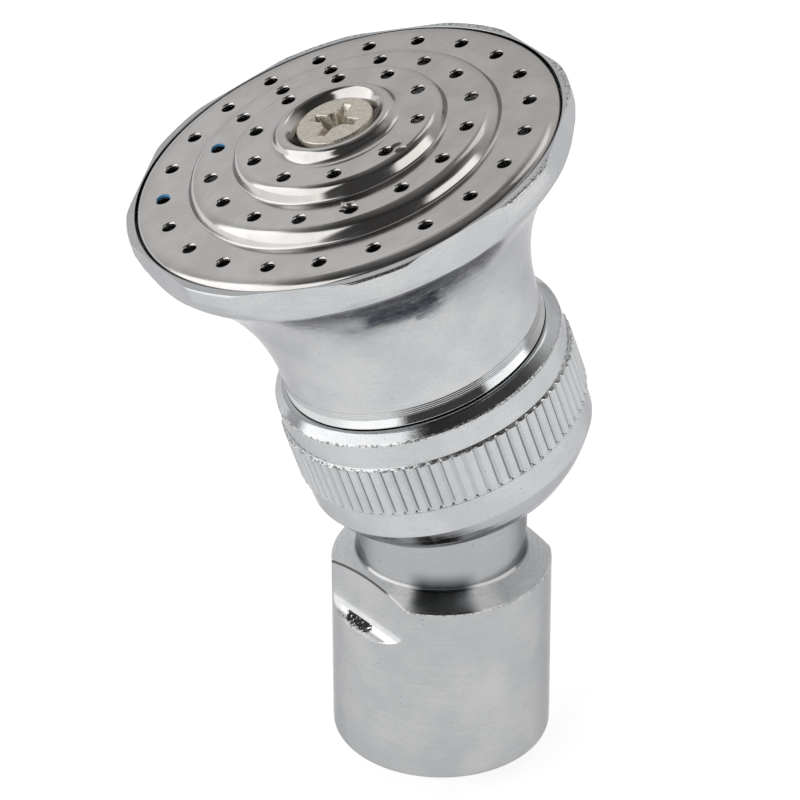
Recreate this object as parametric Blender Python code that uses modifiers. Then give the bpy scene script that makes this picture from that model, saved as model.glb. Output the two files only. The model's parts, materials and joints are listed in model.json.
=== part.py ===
"""Swivelling spray head on a ball joint, standing on its threaded inlet.

World frame: Z = 0 is the inlet's lower face and +Z runs up the inlet's axis.
The head is built in its own frame, whose origin is the ball's centre and whose
Z axis is the head's axis; at rest that frame leans towards -X by REST_TILT.
Every number below is in millimetres or degrees until a mesh is made.
"""

import math

import bmesh
import bpy
from mathutils import Matrix

MM = 0.001
GAP = 0.3                     # clearance kept between touching pieces
MERGE = 0.00001               # merge distance of the turned shapes, in metres

# Ball joint
BALL_HEIGHT = 42.2            # ball centre above the inlet's lower face
BALL_RADIUS = 13.2
REST_TILT = 17.6

# Inlet body
BASE_RADIUS = 13.0
BASE_SHOULDER = 23.7          # height of the shoulder's outer edge
NECK_RADIUS = 10.05
NECK_CREASE = 24.6            # height where the neck meets the sloping shoulder
WATERWAY_RADIUS = 5.0
SOCKET_RADIUS = 9.6           # mean radius of the half-inch pipe thread
SOCKET_DEPTH = 15.0
REGULATOR_SEAT_RADIUS = 7.5
REGULATOR_SEAT_DEPTH = 2.0
WRENCH_FLAT_RADIUS = 11.0     # half of the 22 mm across the flats
WRENCH_FLAT_BOTTOM = 18.7
WRENCH_FLAT_AZIMUTH = 23.1

# Collar nut, heights from the ball's centre
COLLAR_BAND_RADIUS = 17.1
KNURL_RADIUS = 17.5
COLLAR_TOP = 10.0
KNURL_TOP = 6.3
KNURL_BOTTOM = 0.1
COLLAR_SHOULDER = -3.7
COLLAR_BOTTOM = -8.1
COLLAR_BORE = 15.4
COLLAR_LIP_RADIUS = 13.45
SEAT_CONE_TOP = -3.2
SEAT_CONE_BOTTOM = -6.6
SEAT_CONE_BOTTOM_RADIUS = 13.75

# Bell, heights from the ball's centre
SPIGOT_RADIUS = 15.1
SPIGOT_BOTTOM = 2.6
WAIST_RADIUS = 15.43
WAIST_HEIGHT = 12.8           # where the flare leaves the straight waist
FLARE_RADIUS = 27.0           # radius of the concave flare
WALL = 2.0
SEAL_BORE = 13.5
SEAL_BORE_TOP = 15.9
THROAT_RADIUS = 12.2
RIM_RADIUS = 26.0
RIM_FLAT_RADIUS = 25.05
RIM_FLATS = 8
RIM_FLAT_AZIMUTH = 14.5
RIM_BOTTOM = 33.1
RIM_TOP = 37.6
PLATE_LEDGE = 34.7
PLATE_BORE = 24.4

# Face plate, heights from the ball's centre
PLATE_THICKNESS = 0.7
OUTER_ZONE = 38.04
MIDDLE_ZONE = 39.75
INNER_ZONE = 41.4
BEAD_TOP = 42.4
DIMPLE_FLOOR = 39.7
DIMPLE_HOLE = 2.5
PLATE_SKIRT_BOTTOM = 35.9
SPRAY_HOLE_RADIUS = 0.75
SPRAY_RINGS = (               # holes, ring radius, first azimuth, zone height
    (22, 21.2, 1.0, OUTER_ZONE),
    (16, 15.1, 11.25, MIDDLE_ZONE),
    (10, 9.85, 1.0, INNER_ZONE),
)

# Face screw
SCREW_TOP = 41.9
SCREW_HEAD_RADIUS = 4.3
SCREW_SHANK_RADIUS = 2.0
SCREW_END = 30.0
RECESS_LENGTH = 5.0
RECESS_WIDTH = 1.15
RECESS_DEPTH = 1.6
RECESS_AZIMUTH = 28.0

# Spider that carries the face screw
SPIDER_RING_RADIUS = SEAL_BORE - GAP
SPIDER_BOTTOM = 11.4
SPIDER_ARM_BOTTOM = 13.6
SPIDER_TOP = SEAL_BORE_TOP - GAP
POST_RADIUS = 3.2
POST_TOP = 37.8
ARM_COUNT = 3
ARM_WIDTH = 2.4

ROUND_STEPS = 48
SMALL_STEPS = 24
SHARP_ANGLE = math.radians(30)


def start_scene():
    """Empty the scene and return the collections for the parts and for the cutters."""
    for old in list(bpy.data.objects):
        bpy.data.objects.remove(old, do_unlink=True)
    parts = bpy.data.collections.new("spray_head")
    cutters = bpy.data.collections.new("cutters")
    bpy.context.scene.collection.children.link(parts)
    bpy.context.scene.collection.children.link(cutters)
    return parts, cutters


PARTS, CUTTERS = start_scene()


def material(name, colour, metallic, roughness):
    """A Principled BSDF material."""
    made = bpy.data.materials.new(name)
    made.use_nodes = True
    shader = made.node_tree.nodes["Principled BSDF"]
    shader.inputs["Base Color"].default_value = (*colour, 1.0)
    shader.inputs["Metallic"].default_value = metallic
    shader.inputs["Roughness"].default_value = roughness
    return made


def empty(name, location, tilt):
    """An empty that carries the pieces of one moving frame."""
    made = bpy.data.objects.new(name, None)
    made.location = [value * MM for value in location]
    made.rotation_euler = (0.0, math.radians(tilt), 0.0)
    PARTS.objects.link(made)
    return made


def place(mesh, name, look, parent):
    """Link a mesh as a part with its material under its parent empty."""
    made = bpy.data.objects.new(name, mesh)
    mesh.materials.append(look)
    made.parent = parent
    PARTS.objects.link(made)
    return made


def profile_mesh(name, points, closed):
    """Edges of a turned profile; each point is (radius, height)."""
    count = len(points)
    edges = [(index, index + 1) for index in range(count - 1)]
    if closed:
        edges.append((count - 1, 0))
    mesh = bpy.data.meshes.new(name)
    mesh.from_pydata([(radius * MM, 0.0, height * MM) for radius, height in points], edges, [])
    return mesh


def add_turning(made, steps):
    """Turn the profile once about the object's Z axis."""
    turning = made.modifiers.new("turning", "SCREW")
    turning.angle = 2.0 * math.pi
    turning.steps = steps
    turning.render_steps = steps
    turning.use_merge_vertices = True
    turning.merge_threshold = MERGE
    turning.use_smooth_shade = True


def add_sharp_edges(made):
    """Keep the corners of a smooth-shaded turned piece crisp."""
    made.data.shade_smooth()
    made.data.set_sharp_from_angle(angle=SHARP_ANGLE)


def turned(name, points, look, parent, steps=ROUND_STEPS, closed=True):
    """A turned piece; a closed profile runs down its outer side and up its inner one."""
    made = place(profile_mesh(name, points, closed), name, look, parent)
    add_turning(made, steps)
    add_sharp_edges(made)
    return made


def turned_shell(name, points, thickness, look, parent, steps=ROUND_STEPS):
    """A thin turned shell: an open profile of its outer face, thickened inwards."""
    made = turned(name, points, look, parent, steps, closed=False)
    shell = made.modifiers.new("thickness", "SOLIDIFY")
    shell.thickness = thickness * MM
    shell.offset = -1.0
    shell.use_even_offset = True
    return made


def cutter(mesh, name, parent):
    """A hidden tool for a Boolean."""
    made = bpy.data.objects.new(name, mesh)
    made.parent = parent
    made.hide_render = True
    made.display_type = "WIRE"
    CUTTERS.objects.link(made)
    return made


def combine(target, tool, operation):
    """Cut, intersect or join the target with the tool."""
    step = target.modifiers.new(tool.name, "BOOLEAN")
    step.operation = operation
    step.solver = "EXACT"
    step.object = tool


def box_mesh(name, low, high, turn=0.0):
    """A box between two corners, turned about Z by an angle in degrees."""
    shape = bmesh.new()
    bmesh.ops.create_cube(shape, size=1.0)
    for corner in shape.verts:
        for axis in range(3):
            share = corner.co[axis] + 0.5
            corner.co[axis] = (low[axis] + (high[axis] - low[axis]) * share) * MM
    bmesh.ops.rotate(shape, verts=shape.verts, matrix=Matrix.Rotation(math.radians(turn), 3, "Z"))
    mesh = bpy.data.meshes.new(name)
    shape.to_mesh(mesh)
    shape.free()
    return mesh


def sphere_arc(radius, centre_height, start, end, steps):
    """Profile points on a sphere, by the angle down from its top, in degrees."""
    points = []
    for step in range(steps + 1):
        angle = math.radians(start + (end - start) * step / steps)
        points.append((radius * math.sin(angle), centre_height + radius * math.cos(angle)))
    return points


def flare_radius(height, inset=0.0):
    """Radius of the bell's concave flare at a height, or of its wall's inside."""
    rise = height - WAIST_HEIGHT
    reach = FLARE_RADIUS + inset
    return WAIST_RADIUS + FLARE_RADIUS - math.sqrt(reach * reach - rise * rise)


def flare_points(low, high, steps, inset=0.0):
    """Points up the flare from one height to another."""
    heights = [low + (high - low) * step / steps for step in range(steps + 1)]
    return [(flare_radius(height, inset), height) for height in heights]


def drill(target, rings, name, parent):
    """Drill rings of holes; each ring is (count, ring radius, first azimuth, height, hole radius)."""
    drills = bmesh.new()
    for count, ring_radius, first, height, hole_radius in rings:
        for index in range(count):
            angle = math.radians(first + 360.0 * index / count)
            spot = (ring_radius * math.cos(angle) * MM, ring_radius * math.sin(angle) * MM, height * MM)
            bmesh.ops.create_cone(
                drills,
                cap_ends=True,
                segments=8,
                radius1=hole_radius * MM,
                radius2=hole_radius * MM,
                depth=3.0 * MM,
                matrix=Matrix.Translation(spot),
            )
    mesh = bpy.data.meshes.new(name)
    drills.to_mesh(mesh)
    drills.free()
    combine(target, cutter(mesh, name, parent), "DIFFERENCE")


def make_inlet_body(look, parent):
    """Base with the threaded socket, the neck and the bored ball, turned in one piece."""
    mouth_angle = math.degrees(math.asin(WATERWAY_RADIUS / BALL_RADIUS))
    neck_angle = 180.0 - math.degrees(math.asin(NECK_RADIUS / BALL_RADIUS))
    points = sphere_arc(BALL_RADIUS, BALL_HEIGHT, mouth_angle, neck_angle, 9)
    seat_top = SOCKET_DEPTH + REGULATOR_SEAT_DEPTH
    points += [
        (NECK_RADIUS, NECK_CREASE),
        (BASE_RADIUS - 0.3, BASE_SHOULDER),
        (BASE_RADIUS, BASE_SHOULDER - 0.35),
        (BASE_RADIUS, 0.5),
        (BASE_RADIUS - 0.5, 0.0),
        (SOCKET_RADIUS + 0.8, 0.0),
        (SOCKET_RADIUS, 0.8),
        (SOCKET_RADIUS, SOCKET_DEPTH),
        (REGULATOR_SEAT_RADIUS, SOCKET_DEPTH),
        (REGULATOR_SEAT_RADIUS, seat_top),
        (WATERWAY_RADIUS, seat_top),
    ]
    body = turned("inlet_body", points, look, parent)
    for side in (0, 1):
        low = (WRENCH_FLAT_RADIUS, -BASE_RADIUS, WRENCH_FLAT_BOTTOM)
        high = (BASE_RADIUS + 2.0, BASE_RADIUS, NECK_CREASE + 2.0)
        name = f"wrench_flat_cutter_{side + 1}"
        turn = WRENCH_FLAT_AZIMUTH + 180.0 * side
        combine(body, cutter(box_mesh(name, low, high, turn), name, parent), "DIFFERENCE")


def make_inlet_pieces(rubber, steel, plastic, parent):
    """What sits in the pipe socket: the sealing washer, its screen and the flow regulator."""
    washer_top = SOCKET_DEPTH - GAP
    washer_bottom = washer_top - 2.0
    edge = SOCKET_RADIUS - GAP
    turned("inlet_washer", [(5.8, washer_top), (edge, washer_top),
                            (edge, washer_bottom), (5.8, washer_bottom)], rubber, parent, SMALL_STEPS)
    screen_top = washer_bottom - GAP
    dome = [(radius, screen_top - 2.2 * math.cos(radius / 6.0 * math.pi / 2.0))
            for radius in (0.0, 1.5, 3.0, 4.5, 6.0)]
    screen = turned_shell("filter_screen", dome + [(edge, screen_top)], 0.4, steel, parent, SMALL_STEPS)
    drill(screen, [(8, 3.9, 0.0, screen_top - 1.2, 0.7)], "screen_drills", parent)
    disc_edge = REGULATOR_SEAT_RADIUS - GAP
    disc_top = SOCKET_DEPTH + REGULATOR_SEAT_DEPTH - GAP
    turned("flow_regulator", [(2.0, disc_top), (disc_edge, disc_top),
                              (disc_edge, SOCKET_DEPTH), (1.6, SOCKET_DEPTH)], plastic, parent, SMALL_STEPS)


def ring_between_spheres(name, inner, outer, start, end, look, parent):
    """A band between two spheres about the frame's origin."""
    points = sphere_arc(outer, 0.0, start, end, 3) + sphere_arc(inner, 0.0, end, start, 3)
    return turned(name, points, look, parent)


def make_joint_rings(plastic, rubber, steel, upright, leaning):
    """Liner round the ball, thrust ring below it, seal and its backing washer above it."""
    liner_inner = BALL_RADIUS + GAP
    liner_outer = liner_inner + 0.7
    ring_between_spheres("ball_liner", liner_inner, liner_outer, 80.0, 108.0, plastic, upright)

    ring_top = SPIGOT_BOTTOM - GAP - 0.1
    ring_bottom = SEAT_CONE_BOTTOM + 0.4
    bore = liner_outer + GAP
    slope = (COLLAR_BORE - SEAT_CONE_BOTTOM_RADIUS) / (SEAT_CONE_TOP - SEAT_CONE_BOTTOM)
    inset = GAP * math.sqrt(1.0 + slope * slope)
    foot = SEAT_CONE_BOTTOM_RADIUS + slope * (ring_bottom - SEAT_CONE_BOTTOM) - inset
    start = math.degrees(math.acos(ring_bottom / bore))
    end = math.degrees(math.acos(ring_top / bore))
    points = [
        (COLLAR_BORE - GAP, ring_top),
        (COLLAR_BORE - GAP, SEAT_CONE_TOP - 0.1),
        (foot, ring_bottom),
    ]
    points += sphere_arc(bore, 0.0, start, end, 4)
    turned("thrust_ring", points, plastic, leaning)

    seal_bottom = 7.2
    seal_top = 9.3
    edge = SEAL_BORE - GAP
    low = math.degrees(math.acos(seal_bottom / liner_inner))
    high = math.degrees(math.acos(seal_top / liner_inner))
    points = [(edge, seal_top), (edge, seal_bottom)] + sphere_arc(liner_inner, 0.0, low, high, 2)
    turned("ball_seal", points, rubber, leaning)

    washer_bottom = seal_top + GAP
    washer_top = SPIDER_BOTTOM - GAP
    turned("seal_backing_washer", [(9.6, washer_top), (edge, washer_top),
                                   (edge, washer_bottom), (9.6, washer_bottom)], steel, leaning)


def make_collar_nut(look, parent):
    """Nut round the ball: plain band, knurled band, rounded shoulder and the lip under it."""
    points = [
        (COLLAR_BORE + 0.55, COLLAR_TOP),
        (COLLAR_BAND_RADIUS - 0.2, COLLAR_TOP),
        (COLLAR_BAND_RADIUS, COLLAR_TOP - 0.2),
        (COLLAR_BAND_RADIUS, KNURL_TOP + 0.4),
        (KNURL_RADIUS, KNURL_TOP),
        (KNURL_RADIUS, KNURL_BOTTOM),
        (COLLAR_BAND_RADIUS, KNURL_BOTTOM - 0.3),
        (COLLAR_BAND_RADIUS - 0.1, COLLAR_SHOULDER),
    ]
    shoulder_depth = COLLAR_SHOULDER - COLLAR_BOTTOM
    reach = COLLAR_BAND_RADIUS - 0.1 - (COLLAR_LIP_RADIUS + 0.35)
    for step in range(1, 6):
        share = step / 5.0
        drop = shoulder_depth * share
        inward = reach * (0.62 * share + 0.38 * share * share)
        points.append((COLLAR_BAND_RADIUS - 0.1 - inward, COLLAR_SHOULDER - drop))
    points += [
        (COLLAR_LIP_RADIUS, COLLAR_BOTTOM),
        (SEAT_CONE_BOTTOM_RADIUS, SEAT_CONE_BOTTOM),
        (COLLAR_BORE, SEAT_CONE_TOP),
        (COLLAR_BORE, COLLAR_TOP - 0.8),
    ]
    turned("collar_nut", points, look, parent)


def make_bell(look, parent):
    """Flared housing: spigot in the collar, waist, concave flare and the eight-sided rim."""
    points = [
        (PLATE_BORE, RIM_TOP),
        (RIM_RADIUS - 0.2, RIM_TOP),
        (RIM_RADIUS, RIM_TOP - 0.3),
        (RIM_RADIUS, RIM_TOP - 1.8),
        (RIM_RADIUS - 0.35, RIM_TOP - 2.9),
        (RIM_RADIUS - 0.9, RIM_TOP - 3.9),
    ]
    points += reversed(flare_points(WAIST_HEIGHT, RIM_BOTTOM, 8))
    points += [
        (WAIST_RADIUS, COLLAR_TOP + 0.6),
        (SPIGOT_RADIUS, COLLAR_TOP + 0.2),
        (SPIGOT_RADIUS, SPIGOT_BOTTOM),
        (SPIGOT_RADIUS - 0.7, SPIGOT_BOTTOM),
        (SEAL_BORE, SPIGOT_BOTTOM + 4.3),
        (SEAL_BORE, SEAL_BORE_TOP),
        (THROAT_RADIUS, SEAL_BORE_TOP),
        (THROAT_RADIUS, SEAL_BORE_TOP + 1.3),
    ]
    points += flare_points(SEAL_BORE_TOP + 2.1, RIM_BOTTOM, 5, WALL)
    points += [(PLATE_BORE - 1.9, PLATE_LEDGE), (PLATE_BORE, PLATE_LEDGE)]
    bell = turned("bell", points, look, parent)

    bpy.ops.mesh.primitive_cylinder_add(
        vertices=RIM_FLATS,
        radius=RIM_FLAT_RADIUS / math.cos(math.pi / RIM_FLATS) * MM,
        depth=100.0 * MM,
    )
    prism = bpy.context.active_object
    for user in list(prism.users_collection):
        user.objects.unlink(prism)
    face_turn = math.radians(RIM_FLAT_AZIMUTH + 180.0 / RIM_FLATS)
    prism.data.transform(Matrix.Rotation(face_turn, 4, "Z"))
    flats = cutter(prism.data, "rim_flats_prism", parent)
    bpy.data.objects.remove(prism)
    combine(bell, flats, "INTERSECT")


def make_spider(look, parent):
    """Ring under the throat with three arms and the tapped post for the face screw."""
    inner = SPIDER_RING_RADIUS - 2.8
    ring = [(inner, SPIDER_TOP), (SPIDER_RING_RADIUS, SPIDER_TOP),
            (SPIDER_RING_RADIUS, SPIDER_BOTTOM), (inner, SPIDER_BOTTOM)]
    spider = turned("spider", ring, look, parent)
    hole = SCREW_SHANK_RADIUS + GAP
    hole_bottom = SCREW_END - 1.0
    post = [(hole, POST_TOP), (POST_RADIUS, POST_TOP), (POST_RADIUS, SPIDER_ARM_BOTTOM),
            (0.0, SPIDER_ARM_BOTTOM), (0.0, hole_bottom), (hole, hole_bottom)]
    post_tool = cutter(profile_mesh("post_tool", post, False), "post_tool", parent)
    post_tool.data.edges.add(1)
    post_tool.data.edges[-1].vertices = (len(post) - 1, 0)
    post_tool.data.update()
    add_turning(post_tool, SMALL_STEPS)
    for arm in range(ARM_COUNT):
        low = (POST_RADIUS - 1.0, -ARM_WIDTH / 2.0, SPIDER_ARM_BOTTOM + 0.2)
        high = (inner + 0.8, ARM_WIDTH / 2.0, SPIDER_TOP - 0.3)
        name = f"spider_arm_tool_{arm + 1}"
        turn = 360.0 / ARM_COUNT * arm
        combine(spider, cutter(box_mesh(name, low, high, turn), name, parent), "UNION")
    combine(spider, post_tool, "UNION")


def make_face_plate(look, parent):
    """Pressed plate: three stepped zones, a bead round the screw's dimple and a turned-down edge."""
    points = [
        (DIMPLE_HOLE, DIMPLE_FLOOR),
        (3.3, DIMPLE_FLOOR),
        (5.7, BEAD_TOP - 0.3),
        (6.2, BEAD_TOP),
        (6.8, BEAD_TOP - 0.25),
        (7.4, INNER_ZONE),
        (11.3, INNER_ZONE),
        (11.9, INNER_ZONE - 0.3),
        (12.5, MIDDLE_ZONE),
        (17.0, MIDDLE_ZONE),
        (17.6, MIDDLE_ZONE - 0.3),
        (18.2, OUTER_ZONE),
        (22.9, OUTER_ZONE),
        (23.7, OUTER_ZONE - 0.35),
        (PLATE_BORE - GAP, OUTER_ZONE - 1.1),
        (PLATE_BORE - GAP, PLATE_SKIRT_BOTTOM),
    ]
    plate = turned_shell("face_plate", points, PLATE_THICKNESS, look, parent)
    rings = [(*ring, SPRAY_HOLE_RADIUS) for ring in SPRAY_RINGS]
    drill(plate, rings, "spray_hole_drills", parent)


def make_face_gasket(look, parent):
    """Flat ring between the plate's skirt and the bell's ledge."""
    low = PLATE_LEDGE + GAP
    high = PLATE_SKIRT_BOTTOM - GAP
    inner = PLATE_BORE - 1.5
    outer = PLATE_BORE - 0.4
    turned("face_gasket", [(inner, high), (outer, high), (outer, low), (inner, low)], look, parent)


def make_face_screw(steel, rubber, parent):
    """Flat-topped screw in the dimple, with its cross recess, and the washer under the plate."""
    points = [
        (0.0, SCREW_TOP),
        (SCREW_HEAD_RADIUS - 0.35, SCREW_TOP),
        (SCREW_HEAD_RADIUS, SCREW_TOP - 0.3),
        (SCREW_HEAD_RADIUS, SCREW_TOP - 0.7),
        (SCREW_SHANK_RADIUS, DIMPLE_FLOOR - 0.1),
        (SCREW_SHANK_RADIUS, SCREW_END + 0.4),
        (SCREW_SHANK_RADIUS - 0.4, SCREW_END),
        (0.0, SCREW_END),
    ]
    screw = turned("face_screw", points, steel, parent, SMALL_STEPS, closed=False)
    for slot in (0, 1):
        low = (-RECESS_LENGTH / 2.0, -RECESS_WIDTH / 2.0, SCREW_TOP - RECESS_DEPTH)
        high = (RECESS_LENGTH / 2.0, RECESS_WIDTH / 2.0, SCREW_TOP + 1.0)
        name = f"recess_cutter_{slot + 1}"
        turn = RECESS_AZIMUTH + 90.0 * slot
        combine(screw, cutter(box_mesh(name, low, high, turn), name, parent), "DIFFERENCE")

    top = DIMPLE_FLOOR - PLATE_THICKNESS - GAP
    bottom = POST_TOP + GAP
    turned("screw_washer", [(2.4, top), (3.4, top), (3.4, bottom), (2.4, bottom)],
           rubber, parent, SMALL_STEPS)


def main():
    """Make every piece at its rest pose."""
    plated = material("satin_chrome", (0.62, 0.64, 0.66), 1.0, 0.28)
    polished = material("polished_steel", (0.60, 0.58, 0.56), 1.0, 0.14)
    nickel = material("nickel_steel", (0.58, 0.55, 0.48), 1.0, 0.30)
    bright = material("plain_steel", (0.55, 0.55, 0.55), 1.0, 0.35)
    rubber = material("black_rubber", (0.03, 0.03, 0.035), 0.0, 0.65)
    plastic = material("white_plastic", (0.80, 0.80, 0.78), 0.0, 0.45)

    inlet_frame = empty("inlet_frame", (0.0, 0.0, 0.0), 0.0)
    swivel_pivot = empty("swivel_pivot", (0.0, 0.0, BALL_HEIGHT), 0.0)
    head_pivot = empty("head_pivot", (0.0, 0.0, BALL_HEIGHT), -REST_TILT)

    make_inlet_body(plated, inlet_frame)
    make_inlet_pieces(rubber, bright, plastic, inlet_frame)
    make_joint_rings(plastic, rubber, bright, swivel_pivot, head_pivot)
    make_collar_nut(plated, head_pivot)
    make_bell(plated, head_pivot)
    make_spider(bright, head_pivot)
    make_face_plate(polished, head_pivot)
    make_face_gasket(rubber, head_pivot)
    make_face_screw(nickel, rubber, head_pivot)


main()
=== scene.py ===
import json
import math

import bmesh
import bpy
import numpy as np
from mathutils import Matrix, Vector
from mathutils.geometry import delaunay_2d_cdt


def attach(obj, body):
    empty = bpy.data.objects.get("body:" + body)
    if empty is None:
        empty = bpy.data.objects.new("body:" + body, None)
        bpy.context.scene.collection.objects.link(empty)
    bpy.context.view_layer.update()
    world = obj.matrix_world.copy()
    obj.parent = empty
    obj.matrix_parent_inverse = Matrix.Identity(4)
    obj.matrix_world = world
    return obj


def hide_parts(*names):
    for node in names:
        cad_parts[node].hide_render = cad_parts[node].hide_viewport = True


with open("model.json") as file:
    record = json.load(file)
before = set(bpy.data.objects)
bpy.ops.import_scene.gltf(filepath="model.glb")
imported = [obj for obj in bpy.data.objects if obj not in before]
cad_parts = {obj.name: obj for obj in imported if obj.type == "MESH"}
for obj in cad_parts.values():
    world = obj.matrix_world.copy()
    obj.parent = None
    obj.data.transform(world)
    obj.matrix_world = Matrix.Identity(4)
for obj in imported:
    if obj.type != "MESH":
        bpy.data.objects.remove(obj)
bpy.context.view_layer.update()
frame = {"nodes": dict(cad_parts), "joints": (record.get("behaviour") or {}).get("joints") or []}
MM = 0.001

# How far the head's upper pieces lean along x and y for each unit of height, and where that starts.
LEAN = (0.0125, 0.0080)
LEAN_START = 10.0 * MM

# ------------------------------------------------------------------ frames


def head_matrix():
    """Row frame placement of the head: origin at the ball's centre, Z along the head's axis."""
    spin = next(joint for joint in frame["joints"] if joint["name"] == "head_spin")
    axis = Vector(spin["axis"]).normalized()
    side = Vector((0.0, 1.0, 0.0))
    forward = side.cross(axis)
    turn = Matrix((forward, side, axis)).transposed().to_4x4()
    return Matrix.Translation(Vector(spin["pos_m"])) @ turn


def head_set():
    """The head's upper pieces stand a few tenths of a millimetre off its axis, growing with height."""
    shear = Matrix.Identity(4)
    shear[0][2], shear[1][2] = LEAN
    return Matrix.Translation((-LEAN[0] * LEAN_START, -LEAN[1] * LEAN_START, 0.0)) @ shear


HEAD = head_matrix()
HEAD_SET = HEAD @ head_set()
BASE = Matrix.Identity(4)

# ------------------------------------------------------------------ turned meshes, in millimetres


def outline(corners, spacing=0.5, closed=True):
    """Dense (radius, height) rows through corners given as (radius, height, fillet radius)."""
    count = len(corners)
    pieces = []
    for index, (radius, height, fillet) in enumerate(corners):
        here = np.array((radius, height), dtype=float)
        ends = not closed and index in (0, count - 1)
        if fillet <= 0.0 or ends:
            pieces.append([here])
            continue
        before = np.array(corners[index - 1][:2], dtype=float) - here
        after = np.array(corners[(index + 1) % count][:2], dtype=float) - here
        before_unit = before / np.linalg.norm(before)
        after_unit = after / np.linalg.norm(after)
        inside = math.acos(max(-1.0, min(1.0, float(before_unit @ after_unit))))
        turn = math.pi - inside
        if turn < 0.02:
            pieces.append([here])
            continue
        reach = fillet * math.tan(turn / 2.0)
        start = here + before_unit * reach
        end = here + after_unit * reach
        middle = before_unit + after_unit
        centre = here + middle / np.linalg.norm(middle) * (fillet / math.cos(turn / 2.0))
        steps = max(3, math.ceil(math.degrees(turn) / 11.0))
        first = start - centre
        last = end - centre
        arc = []
        for step in range(steps + 1):
            share = step / steps
            near = math.sin((1.0 - share) * turn) / math.sin(turn)
            far = math.sin(share * turn) / math.sin(turn)
            arc.append(centre + first * near + last * far)
        pieces.append(arc)
    rows = []
    spans = count if closed else count - 1
    for index in range(count):
        rows.extend(pieces[index])
        if index >= spans:
            break
        start = pieces[index][-1]
        end = pieces[(index + 1) % count][0]
        length = float(np.linalg.norm(end - start))
        if length < 0.12:
            continue
        guard = min(0.05, length * 0.2)
        inner = max(1, math.ceil((length - 2.0 * guard) / spacing))
        marks = [guard + (length - 2.0 * guard) * step / inner for step in range(inner + 1)]
        rows.extend(start + (end - start) * mark / length for mark in marks)
    return np.array(rows)


def grid_mesh(name, points, closed_rows):
    """A mesh from rows of points that run round an axis; its faces look outwards."""
    row_count, columns, _ = points.shape
    spans = row_count if closed_rows else row_count - 1
    row = np.arange(spans)[:, None]
    column = np.arange(columns)[None, :]
    below = (row + 1) % row_count
    beside = (column + 1) % columns
    faces = np.stack(
        [row * columns + column, below * columns + column, below * columns + beside, row * columns + beside],
        axis=-1,
    ).reshape(-1, 4)
    mesh = bpy.data.meshes.new(name)
    mesh.from_pydata((points.reshape(-1, 3) * MM).tolist(), [], faces.tolist())
    return mesh


def lathe(name, rows, columns, shape=None, closed=True, pole=False):
    """A turned mesh; shape changes the radius and height of a point at an angle."""
    angle = np.linspace(0.0, 2.0 * math.pi, columns, endpoint=False)[None, :]
    radius = np.repeat(rows[:, :1], columns, axis=1)
    height = np.repeat(rows[:, 1:2], columns, axis=1)
    if shape is not None:
        radius, height = shape(angle, radius, height)
    points = np.stack([radius * np.cos(angle), radius * np.sin(angle), height], axis=-1)
    mesh = grid_mesh(name, points, closed)
    if pole:
        weld(mesh)
    return mesh


def weld(mesh, distance=0.000002):
    """Merge points that lie on each other."""
    made = bmesh.new()
    made.from_mesh(mesh)
    bmesh.ops.remove_doubles(made, verts=made.verts, dist=distance)
    made.to_mesh(mesh)
    made.free()


def soft_min(first, second, blend):
    """The smaller of two values, rounded where they meet."""
    share = np.clip(0.5 + 0.5 * (second - first) / blend, 0.0, 1.0)
    return second * (1.0 - share) + first * share - blend * share * (1.0 - share)


def ramp(value, low, high):
    """0 below low, 1 above high and a smooth step between."""
    share = np.clip((value - low) / (high - low), 0.0, 1.0)
    return share * share * (3.0 - 2.0 * share)


def add_piece(name, mesh, matrix, look, body, nodes, sharp=38.0):
    """Place a finished mesh, shade it, tie it to its CAD body and hide the CAD nodes that it replaces."""
    mesh.transform(matrix)
    mesh.materials.append(look)
    mesh.shade_smooth()
    mesh.set_sharp_from_angle(angle=math.radians(sharp))
    piece = bpy.data.objects.new(name, mesh)
    bpy.context.scene.collection.objects.link(piece)
    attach(piece, body)
    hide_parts(*nodes)
    return piece


# ------------------------------------------------------------------ materials


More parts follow.
